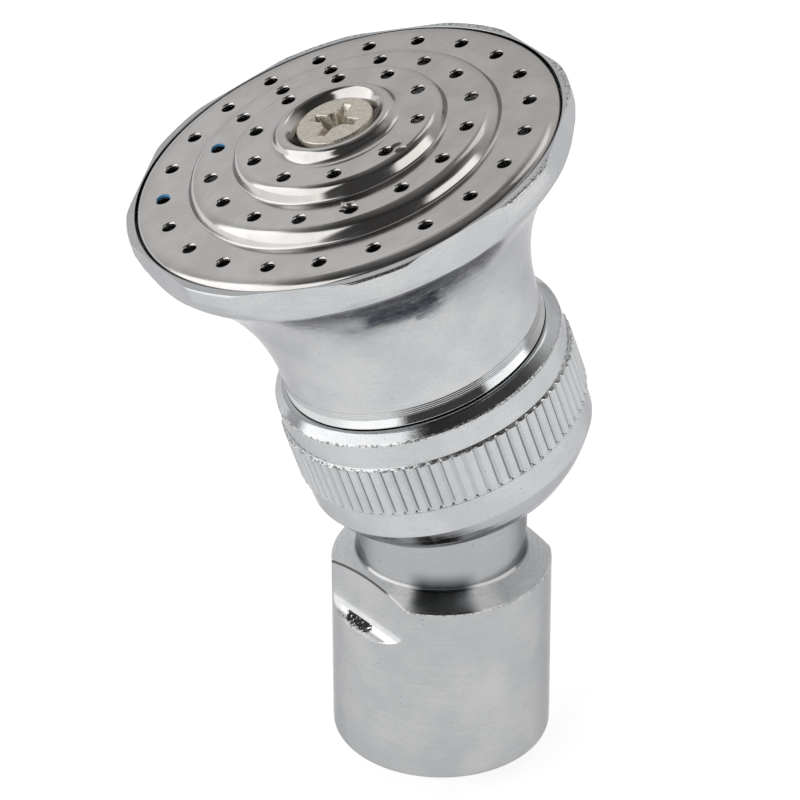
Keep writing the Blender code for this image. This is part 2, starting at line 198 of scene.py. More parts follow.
class Nodes:
    """Short calls for building the node tree of a material or a world."""

    def __init__(self, owner):
        self.owner = owner
        owner.use_nodes = True
        self.tree = owner.node_tree
        self.shader = self.tree.nodes.get("Principled BSDF")

    def link(self, source, target):
        """Join a socket to another, or set the socket's own value."""
        if isinstance(source, bpy.types.NodeSocket):
            self.tree.links.new(source, target)
        else:
            target.default_value = source

    def math(self, operation, first, second=0.0, third=None, clamp=False):
        """One Math node."""
        node = self.tree.nodes.new("ShaderNodeMath")
        node.operation = operation
        node.use_clamp = clamp
        self.link(first, node.inputs[0])
        self.link(second, node.inputs[1])
        if third is not None:
            self.link(third, node.inputs[2])
        return node.outputs[0]

    def span(self, value, low, high, start=0.0, end=1.0):
        """Smoothly map low..high to start..end."""
        node = self.tree.nodes.new("ShaderNodeMapRange")
        node.interpolation_type = "SMOOTHSTEP"
        self.link(value, node.inputs["Value"])
        for socket, number in (("From Min", low), ("From Max", high), ("To Min", start), ("To Max", end)):
            self.link(number, node.inputs[socket])
        return node.outputs["Result"]

    def band(self, value, low, high, soft):
        """1 between low and high, fading out over soft."""
        rise = self.span(value, low - soft, low)
        fall = self.span(value, high, high + soft, 1.0, 0.0)
        return self.math("MULTIPLY", rise, fall)

    def place(self, matrix=HEAD):
        """Millimetres in the frame of a matrix: x, y, z and the distance from its Z axis."""
        coordinates = self.tree.nodes.new("ShaderNodeTexCoord")
        mapping = self.tree.nodes.new("ShaderNodeMapping")
        mapping.vector_type = "TEXTURE"
        mapping.inputs["Location"].default_value = matrix.translation
        mapping.inputs["Rotation"].default_value = matrix.to_euler()
        split = self.tree.nodes.new("ShaderNodeSeparateXYZ")
        self.tree.links.new(coordinates.outputs["Object"], mapping.inputs["Vector"])
        self.tree.links.new(mapping.outputs["Vector"], split.inputs[0])
        x, y, z = (self.math("MULTIPLY", output, 1000.0) for output in split.outputs)
        square = self.math("ADD", self.math("MULTIPLY", x, x), self.math("MULTIPLY", y, y))
        return x, y, z, self.math("SQRT", square)

    def facing(self, x, y, radius):
        """1 on the side that faces FRONT_AZIMUTH, falling to -1 on the opposite side."""
        aside = self.math("MULTIPLY", x, math.cos(FRONT_AZIMUTH))
        along = self.math("MULTIPLY", y, math.sin(FRONT_AZIMUTH))
        return self.math("DIVIDE", self.math("ADD", aside, along), radius)

    def vector(self, x, y, z):
        """Three values as one vector."""
        node = self.tree.nodes.new("ShaderNodeCombineXYZ")
        for value, socket in zip((x, y, z), node.inputs):
            self.link(value, socket)
        return node.outputs[0]

    def noise(self, vector, scale, detail=3.0, rough=0.55):
        """Noise from 0 to 1, centred on a half."""
        node = self.tree.nodes.new("ShaderNodeTexNoise")
        self.tree.links.new(vector, node.inputs["Vector"])
        node.inputs["Scale"].default_value = scale
        node.inputs["Detail"].default_value = detail
        node.inputs["Roughness"].default_value = rough
        return node.outputs["Fac"]

    def cells(self, vector, scale):
        """Distance to the nearest of scattered points, and a random value for that point."""
        node = self.tree.nodes.new("ShaderNodeTexVoronoi")
        self.tree.links.new(vector, node.inputs["Vector"])
        node.inputs["Scale"].default_value = scale
        split = self.tree.nodes.new("ShaderNodeSeparateColor")
        self.tree.links.new(node.outputs["Color"], split.inputs[0])
        return node.outputs["Distance"], split.outputs[0]

    def spot(self, x, y, azimuth, reach, size):
        """1 at a point given by its azimuth and distance from the axis, 0 beyond size of it."""
        turn = math.radians(azimuth)
        aside = self.math("SUBTRACT", x, reach * math.cos(turn))
        along = self.math("SUBTRACT", y, reach * math.sin(turn))
        square = self.math("ADD", self.math("MULTIPLY", aside, aside), self.math("MULTIPLY", along, along))
        return self.span(self.math("SQRT", square), 0.0, size, 1.0, 0.0)

    def mix(self, share, first, second, blend="MIX"):
        """Blend two colours."""
        node = self.tree.nodes.new("ShaderNodeMix")
        node.data_type = "RGBA"
        node.blend_type = blend
        self.link(share, node.inputs["Factor"])
        self.link(first, node.inputs["A"])
        self.link(second, node.inputs["B"])
        return node.outputs["Result"]

    def bump(self, height, distance, strength=1.0, normal=None):
        """A bump whose height of 1 stands that many millimetres proud."""
        node = self.tree.nodes.new("ShaderNodeBump")
        node.inputs["Strength"].default_value = strength
        node.inputs["Distance"].default_value = distance * MM
        self.tree.links.new(height, node.inputs["Height"])
        if normal is not None:
            self.tree.links.new(normal, node.inputs["Normal"])
        return node.outputs["Normal"]

    def finish(self, colour, metallic, roughness, normal=None):
        """Feed the shader."""
        self.link(colour, self.shader.inputs["Base Color"])
        self.link(metallic, self.shader.inputs["Metallic"])
        self.shader.inputs["Specular Tint"].default_value = EDGE_TINT
        self.link(roughness, self.shader.inputs["Roughness"])
        if normal is not None:
            self.tree.links.new(normal, self.shader.inputs["Normal"])
        return self.owner


EDGE_TINT = (0.62, 0.62, 0.63, 1.0)
SPECK_SHARE = 0.5
# The azimuth that the camera looks from. Painted light and shade placed by it stay put on the object in
# other views.
FRONT_AZIMUTH = math.radians(-105.5)


def grey(value, warmth=0.0):
    """A near-neutral colour."""
    return (value * (1.0 + warmth), value, value * (1.0 - warmth), 1.0)


def turned_metal(name, matrix, bright, dull, low, high, brush, grain=0.003, wear=(), painted_shade_bands=(),
                 grooves=None, polished=None):
    """Plated metal, brushed round its axis, with clouding, specks and worn edges.

    low and high are the roughness limits and brush the depth of the lathe lines in millimetres.
    wear lists (lowest height, highest height, smallest radius, softness) of the worn edges,
    painted_shade_bands lists (lowest height, highest height, softness, colour) of bands of painted shade,
    streaked with a deeper tone, and grooves gives (lowest height, highest height, floor radius, crest
    radius) of grooves that are darker towards their floor.
    polished gives (lowest height, highest height, share) of a smoother band that is brighter by share.
    """
    made = Nodes(bpy.data.materials.new(name))
    x, y, z, radius = made.place(matrix)
    along = made.math("ADD", z, radius)
    here = made.vector(x, y, z)
    rings = made.noise(made.vector(made.math("MULTIPLY", x, 0.05), made.math("MULTIPLY", y, 0.05),
                                   made.math("MULTIPLY", along, 6.0)), 1.0, 4.0, 0.7)
    streaks = made.noise(made.vector(made.math("MULTIPLY", x, 0.3), made.math("MULTIPLY", y, 0.3),
                                     made.math("MULTIPLY", along, 5.0)), 1.0, 5.0, 0.7)
    clouds = made.noise(here, 0.13, 3.0, 0.55)
    blotches = made.noise(here, 0.9, 4.0, 0.65)
    fine = made.noise(here, 5.0, 3.0, 0.6)
    distance, chance = made.cells(here, 0.9)
    size = made.math("MULTIPLY", chance, 0.09)
    speck = made.math("MULTIPLY", made.math("LESS_THAN", distance, size),
                      made.math("GREATER_THAN", chance, 0.72))
    speck = made.math("MULTIPLY", speck, SPECK_SHARE)

    rough = made.math("ADD", made.span(blotches, 0.3, 0.7, low, high),
                      made.span(streaks, 0.3, 0.7, -0.05, 0.05))
    shade = made.math("ADD", made.math("MULTIPLY", clouds, 0.6), made.math("MULTIPLY", streaks, 0.4))
    colour = made.mix(made.span(shade, 0.38, 0.62), dull, bright)
    # Painted shade: each band darkens the metal between two heights, streaked.
    for lowest, highest, soft, tone in painted_shade_bands:
        streaked = made.math("MULTIPLY", made.band(z, lowest, highest, soft), made.span(shade, 0.38, 0.56))
        colour = made.mix(streaked, colour, tone, "MULTIPLY")
    if grooves is not None:
        lowest, highest, floor, crest = grooves
        # The grooves are darker towards their floor.
        groove_darkening = made.math("MULTIPLY", made.band(z, lowest, highest, 0.2),
                         made.span(radius, floor, crest, 1.0, 0.0))
        colour = made.mix(made.math("MULTIPLY", groove_darkening, 0.40), colour, grey(0.30, -0.04))
    colour = made.mix(made.span(fine, 0.42, 0.72, 0.0, 0.32), colour, grey(0.38, -0.03))
    height = made.math("ADD", made.math("MULTIPLY", rings, 0.5), made.math("MULTIPLY", streaks, 0.5))
    normal = made.bump(height, brush)
    normal = made.bump(blotches, 0.010, 1.0, normal)
    normal = made.bump(fine, grain, 1.0, normal)
    worn = None
    for lowest, highest, smallest, soft in wear:
        mask = made.math("MULTIPLY", made.band(z, lowest, highest, soft),
                         made.span(radius, smallest - soft, smallest))
        worn = mask if worn is None else made.math("MAXIMUM", worn, mask)
    if worn is not None:
        chips = made.noise(here, 2.6, 4.0, 0.75)
        chip = made.math("MULTIPLY", worn, made.span(chips, 0.53, 0.60))
        bare_metal_and_painted_light = made.math("MULTIPLY", worn, made.span(chips, 0.50, 0.40))
        colour = made.mix(made.math("MULTIPLY", bare_metal_and_painted_light, 0.6), colour, grey(0.80))
        speck = made.math("MAXIMUM", speck, made.math("MULTIPLY", chip, 0.8))
        normal = made.bump(chip, -0.02, 1.0, normal)
    if polished is not None:
        lowest, highest, share = polished
        gloss = made.band(z, lowest, highest, 0.1)
        colour = made.mix(made.math("MULTIPLY", gloss, share), colour, grey(0.80, -0.01))
        rough = made.math("MULTIPLY", rough, made.span(gloss, 0.0, 1.0, 1.0, 0.5))
    colour = made.mix(speck, colour, grey(0.10, 0.05))
    rough = made.math("ADD", rough, made.math("MULTIPLY", speck, 0.25), clamp=True)
    return made, here, (x, y, z, radius), colour, rough, normal


BLISTERS = (
    # azimuth, distance from the axis, radius and height of the small bumps in the plate
    (298.0, 10.6, 1.05, 0.30),
    (259.0, 13.3, 0.80, 0.26),
    (257.0, 14.4, 0.70, -0.22),
)
STAINED_HOLES = ((163.3, 20.93), (144.4, 14.95))


def pressed_steel(name):
    """Polished sheet: nearly a mirror, slightly uneven, with faint grain in patches, and painted shade
    towards +x.
    """
    made = Nodes(bpy.data.materials.new(name))
    x, y, z, _ = made.place()
    here = made.vector(x, y, z)
    wave = made.noise(here, 0.10, 2.0, 0.5)
    grain_line = made.vector(made.math("MULTIPLY", made.math("ADD", x, y), 0.3),
                             made.math("MULTIPLY", made.math("SUBTRACT", x, y), 3.0), z)
    grain = made.noise(grain_line, 1.0, 4.0, 0.7)
    patches = made.span(made.noise(here, 0.09, 2.0, 0.5), 0.45, 0.65)
    grain_share = made.math("MULTIPLY", made.math("SUBTRACT", grain, 0.5), patches)
    clouds = made.noise(here, 0.25, 3.0, 0.6)
    fine = made.noise(here, 4.0, 3.0, 0.6)
    rough = made.math("ADD", made.span(clouds, 0.3, 0.7, 0.10, 0.17),
                      made.math("MULTIPLY", grain_share, 0.12))
    tone = made.math("ADD", clouds, made.math("MULTIPLY", grain_share, 0.8))
    colour = made.mix(made.span(tone, 0.3, 0.7), (0.565, 0.545, 0.525, 1.0), (0.635, 0.62, 0.61, 1.0))
    distance, chance = made.cells(here, 0.7)
    speck = made.math("MULTIPLY", made.math("LESS_THAN", distance, 0.045),
                      made.math("GREATER_THAN", chance, 0.85))
    colour = made.mix(made.math("MULTIPLY", speck, 0.6), colour, grey(0.15))
    # Painted shade: the plate is up to 15 % darker towards +x.
    colour = made.mix(made.span(x, -14.0, 16.0), colour, grey(0.85, 0.015), "MULTIPLY")
    normal = made.bump(wave, 0.10)
    for azimuth, reach, size, proud in BLISTERS:
        normal = made.bump(made.spot(x, y, azimuth, reach, size), proud, 1.0, normal)
    metallic = 1.0
    for azimuth, reach in STAINED_HOLES:
        stain_and_painted_reflection = made.span(made.spot(x, y, azimuth, reach, 1.6), 0.42, 0.55)
        colour = made.mix(stain_and_painted_reflection, colour, (0.05, 0.30, 0.55, 1.0))
        metallic = made.math("SUBTRACT", metallic, stain_and_painted_reflection, clamp=True)
    normal = made.bump(grain_share, 0.002, 1.0, normal)
    normal = made.bump(fine, 0.0012, 1.0, normal)
    return made.finish(colour, metallic, rough, normal)


def nickel(name):
    """Dull warm nickel plate with small dents."""
    made = Nodes(bpy.data.materials.new(name))
    x, y, z, _ = made.place()
    here = made.vector(x, y, z)
    dents = made.noise(here, 1.6, 4.0, 0.7)
    fine = made.noise(here, 7.0, 3.0, 0.6)
    rough = made.span(dents, 0.3, 0.7, 0.24, 0.40)
    colour = made.mix(made.span(dents, 0.35, 0.65), (0.60, 0.555, 0.48, 1.0), (0.78, 0.735, 0.66, 1.0))
    normal = made.bump(dents, 0.07)
    normal = made.bump(fine, 0.010, 1.0, normal)
    return made.finish(colour, 1.0, rough, normal)


def finished(made, _, __, colour, rough, normal):
    """Close a turned metal that needs nothing more."""
    return made.finish(colour, 1.0, rough, normal)


def inlet_metal(name):
    """The inlet's plating, with a torn patch where the flat runs out and painted light and shade.

    The light and dark parts of the shoulder, the line at its inner edge, the dark foot and sides of
    the neck and the lighter front of the ball imitate reflections seen from FRONT_AZIMUTH. Painted shade
    darkens the neck and everything above its foot, and makes a dark line along one flat's top edge; the
    scoop is painted from light to dark along its length as painted light.
    """
    # The band from the neck's foot upward is painted shade.
    made, here, (x, y, z, radius), colour, rough, normal = turned_metal(
        name, BASE, grey(0.510, -0.002), grey(0.435, -0.020), 0.13, 0.23, 0.0011, 0.006,
        wear=[(23.30, 23.60, 12.85, 0.08)], painted_shade_bands=[(24.9, 40.0, 0.5, grey(0.80, -0.015))])
    across = made.math("ADD", made.math("MULTIPLY", x, math.cos(FLAT_AZIMUTH)),
                       made.math("MULTIPLY", y, math.sin(FLAT_AZIMUTH)))
    along = made.math("SUBTRACT", made.math("MULTIPLY", y, math.cos(FLAT_AZIMUTH)),
                      made.math("MULTIPLY", x, math.sin(FLAT_AZIMUTH)))
    scoop = made.math("MULTIPLY", made.band(z, 17.8, 18.80, 0.10),
                      made.math("MULTIPLY", made.span(made.math("ABSOLUTE", across), 11.3, 11.45),
                                made.span(radius, 12.98, 12.93)))
    ragged = made.noise(here, 2.6, 5.0, 0.75)
    patch = made.math("MULTIPLY", made.band(along, -0.4, 1.8, 2.8), made.band(z, 18.3, 18.9, 0.5))
    depth = made.math("ADD", ragged, made.math("MULTIPLY", patch, 0.30))
    torn = made.math("MULTIPLY", scoop, made.span(depth, 0.70, 0.76))
    slope = made.math("ADD", z, made.math("MULTIPLY", radius, SHOULDER_SLOPE))
    crest = SHOULDER_TOP + NECK_RADIUS * SHOULDER_SLOPE
    shoulder = made.math("MULTIPLY", made.span(slope, crest - 0.14, crest - 0.06),
                         made.span(radius, 10.1, 10.3))
    facing = made.facing(x, y, radius)
    # Painted reflection: all of the shoulder but the part facing FRONT_AZIMUTH is painted light, lightly
    # streaked and less metallic.
    bare_metal_and_painted_light = made.math("MULTIPLY", shoulder, made.span(facing, 0.975, 0.925))
    streak = made.noise(made.vector(made.math("MULTIPLY", x, 0.4), made.math("MULTIPLY", y, 0.4),
                                    made.math("MULTIPLY", radius, 3.5)), 1.0, 3.0, 0.6)
    lit = made.mix(made.span(facing, 0.78, 0.90), grey(0.72, -0.02), grey(1.0))
    lit = made.mix(made.span(streak, 0.35, 0.65, 0.20, 0.0), lit, grey(0.35, -0.03))
    colour = made.mix(bare_metal_and_painted_light, colour, lit)
    # Painted shade: the part of the shoulder facing FRONT_AZIMUTH is darkened, a painted reflection of a
    # dark front.
    shade = made.math("MULTIPLY", shoulder, made.span(facing, 0.945, 0.985))
    colour = made.mix(shade, colour, grey(0.38), "MULTIPLY")
    rough = made.math("ADD", rough, made.math("MULTIPLY", bare_metal_and_painted_light, 0.10))
    # Painted highlight: a white line along the crease between neck and shoulder, on both sides of the front.
    crease = made.math("MULTIPLY", made.band(radius, 10.055, 10.22, 0.02), made.band(z, 24.7, 25.2, 0.05))
    crease = made.math("MULTIPLY", crease, made.band(facing, 0.55, 0.93, 0.05))
    colour = made.mix(crease, colour, grey(1.0))
    # The painted light of the shoulder and the crease is made less metallic.
    plain = made.math("MAXIMUM", bare_metal_and_painted_light, crease)
    metallic = made.math("SUBTRACT", 1.0, made.math("MULTIPLY", plain, 0.9))
    # Painted shade: the neck's foot at the front and the neck's sides are darkened.
    foot = made.math("MULTIPLY", made.span(z, 27.6, 25.2), made.span(facing, 0.90, 0.98))
    foot = made.math("MULTIPLY", foot, made.span(radius, 10.4, 10.2))
    limb = made.math("MULTIPLY", made.span(facing, 0.72, 0.20, 0.0, 0.75), made.span(facing, -0.7, -0.1))
    limb = made.math("MULTIPLY", limb, made.span(z, 24.7, 24.9))
    limb = made.math("MULTIPLY", limb, made.span(radius, 10.4, 10.2))
    colour = made.mix(made.math("MAXIMUM", foot, limb), colour, grey(0.22, -0.05), "MULTIPLY")
    # Painted shade: a dark line along the top edge of one spanner flat.
    rim = made.math("MULTIPLY", made.band(across, -11.12, -10.9, 0.06), made.span(z, 21.6, 21.8))
    rim = made.math("MULTIPLY", rim, made.span(along, -4.2, -3.0))
    rim = made.math("MULTIPLY", rim, made.span(slope, crest - 0.26, crest - 0.18))
    colour = made.mix(rim, colour, grey(0.10, -0.02))
    # Painted highlight: the front of the ball is lighter and less metallic.
    ball = made.math("MULTIPLY", made.span(z, 33.5, 33.8), made.span(facing, 0.1, 0.6))
    colour = made.mix(ball, colour, grey(0.80, -0.03))
    metallic = made.math("SUBTRACT", metallic, made.math("MULTIPLY", ball, 0.45))
    # Painted light: the scoop is painted from light to dark along its length.
    colour = made.mix(scoop, colour, made.mix(made.span(along, 2.0, 5.0), grey(0.88), grey(0.50)))
    colour = made.mix(torn, colour, grey(0.035, 0.05))
    normal = made.bump(made.math("MULTIPLY", torn, ragged), -0.15, 1.0, normal)
    return made.finish(colour, metallic, rough, normal)


def bell_metal(name):
    """The bell's plating, with a streaky dark painted reflection and a light painted reflection under the
    rim, on the camera's side.
    """
    made, here, (x, y, z, radius), colour, rough, normal = turned_metal(
        name, HEAD, grey(0.595, -0.006), grey(0.515, -0.024), 0.12, 0.25, 0.0028, 0.006,
        wear=[(37.05, 37.3, 25.5, 0.04)], polished=(10.9, 11.9, 0.40))
    uneven = made.math("SUBTRACT", made.noise(here, 0.45, 4.0, 0.7), 0.5)
    turn = made.math("ADD", made.math("DEGREES", made.math("ARCTAN2", y, x)),
                     made.math("MULTIPLY", uneven, 26.0))
    height = made.math("ADD", z, made.math("MULTIPLY", uneven, 3.0))
    lines = made.noise(made.vector(made.math("MULTIPLY", x, 0.25), made.math("MULTIPLY", y, 0.25),
                                   made.math("MULTIPLY", made.math("ADD", z, radius), 3.0)), 1.0, 5.0, 0.75)
    sloped = made.math("ADD", height, made.math("MULTIPLY", made.math("ADD", turn, 106.0), 0.10))
    # Painted reflection: a streaky grey-blue dark patch under the rim, on the camera's side.
    stain_and_painted_reflection = made.math("MULTIPLY", made.band(turn, -105.0, -87.0, 8.0), made.band(sloped, 29.0, 30.8, 1.9))
    stain_and_painted_reflection = made.math("MULTIPLY", stain_and_painted_reflection, made.span(lines, 0.30, 0.60, 0.40, 1.0))
    colour = made.mix(stain_and_painted_reflection, colour, (0.20, 0.24, 0.30, 1.0), "MULTIPLY")
    # Painted reflection: a light patch beside it, under the rim.
    bare_metal_and_painted_light = made.math("MULTIPLY", made.band(turn, -118.0, -109.0, 6.0), made.band(height, 29.0, 30.2, 1.5))
    colour = made.mix(made.math("MULTIPLY", bare_metal_and_painted_light, 0.35), colour, (0.84, 0.89, 0.92, 1.0))
    return made.finish(colour, 1.0, rough, normal)


def machined(name):
    """Plain steel with tool marks round the axis."""
    made = Nodes(bpy.data.materials.new(name))
    x, y, z, radius = made.place()
    along = made.math("ADD", z, radius)
    marks = made.noise(made.vector(made.math("MULTIPLY", x, 0.1), made.math("MULTIPLY", y, 0.1),
                                   made.math("MULTIPLY", along, 5.0)), 1.0, 4.0, 0.7)
    rough = made.span(marks, 0.3, 0.7, 0.3, 0.5)
    colour = made.mix(marks, grey(0.42), grey(0.6))
    return made.finish(colour, 1.0, rough, made.bump(marks, 0.01))


def rubber(name):
    """Matte black rubber with moulding grain."""
    made = Nodes(bpy.data.materials.new(name))
    x, y, z, _ = made.place()
    grain = made.noise(made.vector(x, y, z), 4.0, 4.0, 0.6)
    rough = made.span(grain, 0.3, 0.7, 0.55, 0.8)
    colour = made.mix(grain, grey(0.012), grey(0.04))
    return made.finish(colour, 0.0, rough, made.bump(grain, 0.02))


def moulded(name):
    """Off-white moulded plastic."""
    made = Nodes(bpy.data.materials.new(name))
    x, y, z, _ = made.place()
    grain = made.noise(made.vector(x, y, z), 3.0, 4.0, 0.6)
    rough = made.span(grain, 0.3, 0.7, 0.38, 0.55)
    colour = made.mix(grain, (0.70, 0.70, 0.66, 1.0), (0.82, 0.82, 0.79, 1.0))
    return made.finish(colour, 0.0, rough, made.bump(grain, 0.01))


# ------------------------------------------------------------------ inlet body

BALL_HEIGHT = HEAD.translation.z / MM
FLAT_DISTANCE = 11.0
FLAT_AZIMUTH = math.radians(23.1)
NECK_RADIUS = 10.05
SHOULDER_TOP = 24.88
SHOULDER_SLOPE = 0.4626
SCOOP_TOP = 20.37
SCOOP_RADIUS = 2.5
BALL_RADIUS = 13.2
BASE_RADIUS = 13.0
SOCKET_RADIUS = 9.6
SOCKET_PITCH = 1.814
WATERWAY_RADIUS = 5.0


def inlet_rows():
    """Profile of the inlet: ball, neck, sloping shoulder, base and threaded socket."""
    first = math.asin(WATERWAY_RADIUS / BALL_RADIUS)
    last = math.pi - math.asin(NECK_RADIUS / BALL_RADIUS)
    arc = [(BALL_RADIUS * math.sin(angle), BALL_HEIGHT + BALL_RADIUS * math.cos(angle))
           for angle in np.linspace(first, last, 50)]
    rest = outline(
        [
            (arc[-1][0], arc[-1][1], 0.0),
            (NECK_RADIUS, SHOULDER_TOP, 0.22),
            (12.99, SHOULDER_TOP - (12.99 - NECK_RADIUS) * SHOULDER_SLOPE, 0.32),
            (BASE_RADIUS, 0.0, 0.9),
            (10.4, 0.0, 0.1),
            (SOCKET_RADIUS, 0.8, 0.0),
            (SOCKET_RADIUS, 15.0, 0.0),
            (7.5, 15.0, 0.0),
            (7.5, 17.0, 0.0),
            (WATERWAY_RADIUS, 17.0, 0.3),
            arc[0] + (0.0,),
        ],
        spacing=0.3,
        closed=False,
    )
    scoop = [(BASE_RADIUS, height) for height in np.linspace(20.6, 18.3, 24)]
    scoop += [(BASE_RADIUS, height) for height in np.linspace(18.25, 17.6, 16)]
    keep = [row for row in rest if not (row[0] > 12.9 and 17.5 < row[1] < 20.65)]
    split = next(index for index, row in enumerate(keep) if row[0] > 12.9 and row[1] <= 17.5)
    return np.array(arc[:-1] + keep[:split] + scoop + keep[split:-1])


def inlet_shape(angle, radius, height):
    """Cut the two spanner flats, which run out in a scoop, and the socket's thread."""
    facing = np.abs(np.cos(angle - FLAT_AZIMUTH)) + 1e-6
    depth = np.clip(SCOOP_TOP - height, 0.0, SCOOP_RADIUS * 0.985)
    run_out = SCOOP_RADIUS - np.sqrt(SCOOP_RADIUS ** 2 - depth ** 2)
    below = np.maximum(SCOOP_TOP - SCOOP_RADIUS * 0.985 - height, 0.0)
    limit = (FLAT_DISTANCE + run_out + below * 6.0) / facing
    outside = (radius > 10.2) & (height > 16.8)
    radius = np.where(outside, soft_min(radius, limit, 0.10), radius)
    socket = (np.abs(radius - SOCKET_RADIUS) < 0.05) & (height < 14.0) & (height > 0.7)
    turn = (height / SOCKET_PITCH - angle / (2.0 * math.pi)) % 1.0
    wave = 1.0 - np.abs(2.0 * turn - 1.0)
    fade = ramp(height, 0.8, 2.0) * (1.0 - ramp(height, 12.0, 13.5))
    radius = np.where(socket, radius + (wave - 0.5) * 1.0 * fade, radius)
    return radius, height


# ------------------------------------------------------------------ collar nut

RIDGES = 76
COLUMNS_PER_RIDGE = 16


def collar_rows():
    """Profile of the collar nut: land, plain band, knurled band, shoulder and lip."""
    return outline(
        [
            (15.50, 10.75, 0.08),
            (15.90, 10.75, 0.7),
            (17.04, 9.72, 0.30),
            (17.1, 9.4, 0.1),
            (17.1, 6.62, 0.08),
            (17.5, 6.3, 0.10),
            (17.5, 0.1, 0.10),
            (17.12, -0.2, 0.08),
            (17.03, -3.6, 0.5),
            (16.5, -4.5, 2.0),
            (15.98, -5.35, 3.0),
            (15.15, -6.5, 3.0),
            (14.57, -7.12, 2.5),
            (13.85, -7.95, 0.25),
            (13.45, -8.1, 0.1),
            (13.75, -6.6, 0.1),
            (15.4, -3.2, 0.1),
            (15.4, 7.6, 0.1),
            (15.50, 7.8, 0.05),
        ],
        spacing=0.35,
    )


def collar_shape(angle, radius, height):
    """Press the straight ridges into the knurled band."""
    wobble = 0.03 * np.sin(angle * 7.0) + 0.02 * np.sin(angle * 19.0 + 1.3)
    turn = (angle * RIDGES / (2.0 * math.pi) + wobble) % 1.0
    distance = np.abs(turn - 0.5)
    groove = 1.0 - ramp(distance, 0.0, 0.36)
    band = ramp(height, -0.15, 0.35) * (1.0 - ramp(height, 6.15, 6.5))
    depth = 0.30 + 0.03 * np.sin(angle * 9.0 + 0.7)
    dip = 0.03 * (1.0 - ramp(distance, 0.25, 0.5))
    radius = np.where(radius > 17.05, np.maximum(radius - (depth * groove + dip) * band, 17.05), radius)
    return radius, height


# ------------------------------------------------------------------ bell

RIM_FLATS = 8
RIM_FLAT_DISTANCE = 24.92
RIM_FLAT_AZIMUTH = math.radians(14.5)


def flare(height, inset=0.0):
    """Radius of the concave flare at a height."""
    reach = 27.0 + inset
    return 42.43 - math.sqrt(reach * reach - (height - 12.8) ** 2)


def bell_rows():
    """Profile of the bell: rim, concave flare, waist with its last threads, spigot and inside."""
    rim = [
        (24.76, 37.25, 0.08),
        (25.82, 37.25, 0.38),
        (25.86, 35.6, 0.8),
        (25.52, 34.5, 0.8),
        (24.95, 33.5, 0.6),
    ]
    outer = [(flare(height), height, 0.0) for height in np.linspace(32.9, 13.1, 60)]
    threads = []
    for turn in range(4):
        top = 13.0 - 0.25 * turn
        threads += [(15.43, top, 0.0), (15.37, top - 0.08, 0.0), (15.43, top - 0.16, 0.0)]
    foot = [
        (15.43, 12.05, 0.05),
        (14.98, 11.92, 0.10),
        (15.56, 10.98, 0.10),
        (15.45, 10.86, 0.03),
        (15.1, 10.8, 0.0),
        (15.1, 2.6, 0.2),
        (14.4, 2.6, 0.0),
        (13.5, 6.9, 0.0),
        (13.5, 15.9, 0.0),
        (12.2, 15.9, 0.0),
        (12.2, 17.2, 0.0),
    ]
    inner = [(flare(height, 2.0), height, 0.0) for height in np.linspace(18.0, 33.1, 24)]
    ledge = [(22.5, 34.6, 0.1), (24.76, 34.6, 0.0)]
    return outline(rim + outer + threads + foot + inner + ledge, spacing=0.5)


def bell_shape(angle, radius, height):
    """Mill the eight flats round the rim."""
    step = 2.0 * math.pi / RIM_FLATS
    turn = (angle - RIM_FLAT_AZIMUTH + step / 2.0) % step - step / 2.0
    limit = RIM_FLAT_DISTANCE / np.cos(turn)
    outside = (height > 32.5) & (radius > 24.4)
    return np.where(outside, soft_min(radius, limit, 0.12), radius), height


# ------------------------------------------------------------------ face plate

HOLE = 0.75
HOLE_EASE = 0.26
HOLE_SIDES = 32
PLATE_COLUMNS = 288
PLATE_THICKNESS = 0.6
RINGS = (
    # holes, ring radius, first azimuth, inner and outer radius of the band that holds them
    (10, 9.85, 1.0, 8.5, 10.88),
    (16, 15.1, 11.25, 13.7, 16.15),
    (22, 21.2, 1.0, 19.8, 22.33),
)


def plate_rows():
    """Profile of the plate's top face, from the turned-down edge in to the screw's hole."""
    roll = [(22.35 + 2.22 * math.sin(turn), 37.84 - 1.05 * (1.0 - math.cos(turn)), 0.0)
            for turn in np.linspace(math.pi / 2.0, 0.0, 15)]
    return outline(
        [(24.57, 35.5, 0.0)]
        + roll
        + [
            (18.15, 37.84, 0.35),
            (17.45, 39.55, 1.9),
            (12.45, 39.55, 0.35),
            (11.75, 41.2, 1.25),
            (7.35, 41.2, 1.1),
            (6.2, 42.8, 0.75),
            (5.4, 41.9, 0.4),
            (3.4, 39.3, 0.35),
            (2.5, 39.3, 0.0),
        ],
        spacing=0.3,
        closed=False,
    )[::-1]


def ring_points(radius, count=PLATE_COLUMNS):
    """Points round a circle."""
    angle = np.linspace(0.0, 2.0 * math.pi, count, endpoint=False)
    return np.stack([radius * np.cos(angle), radius * np.sin(angle)], axis=-1)


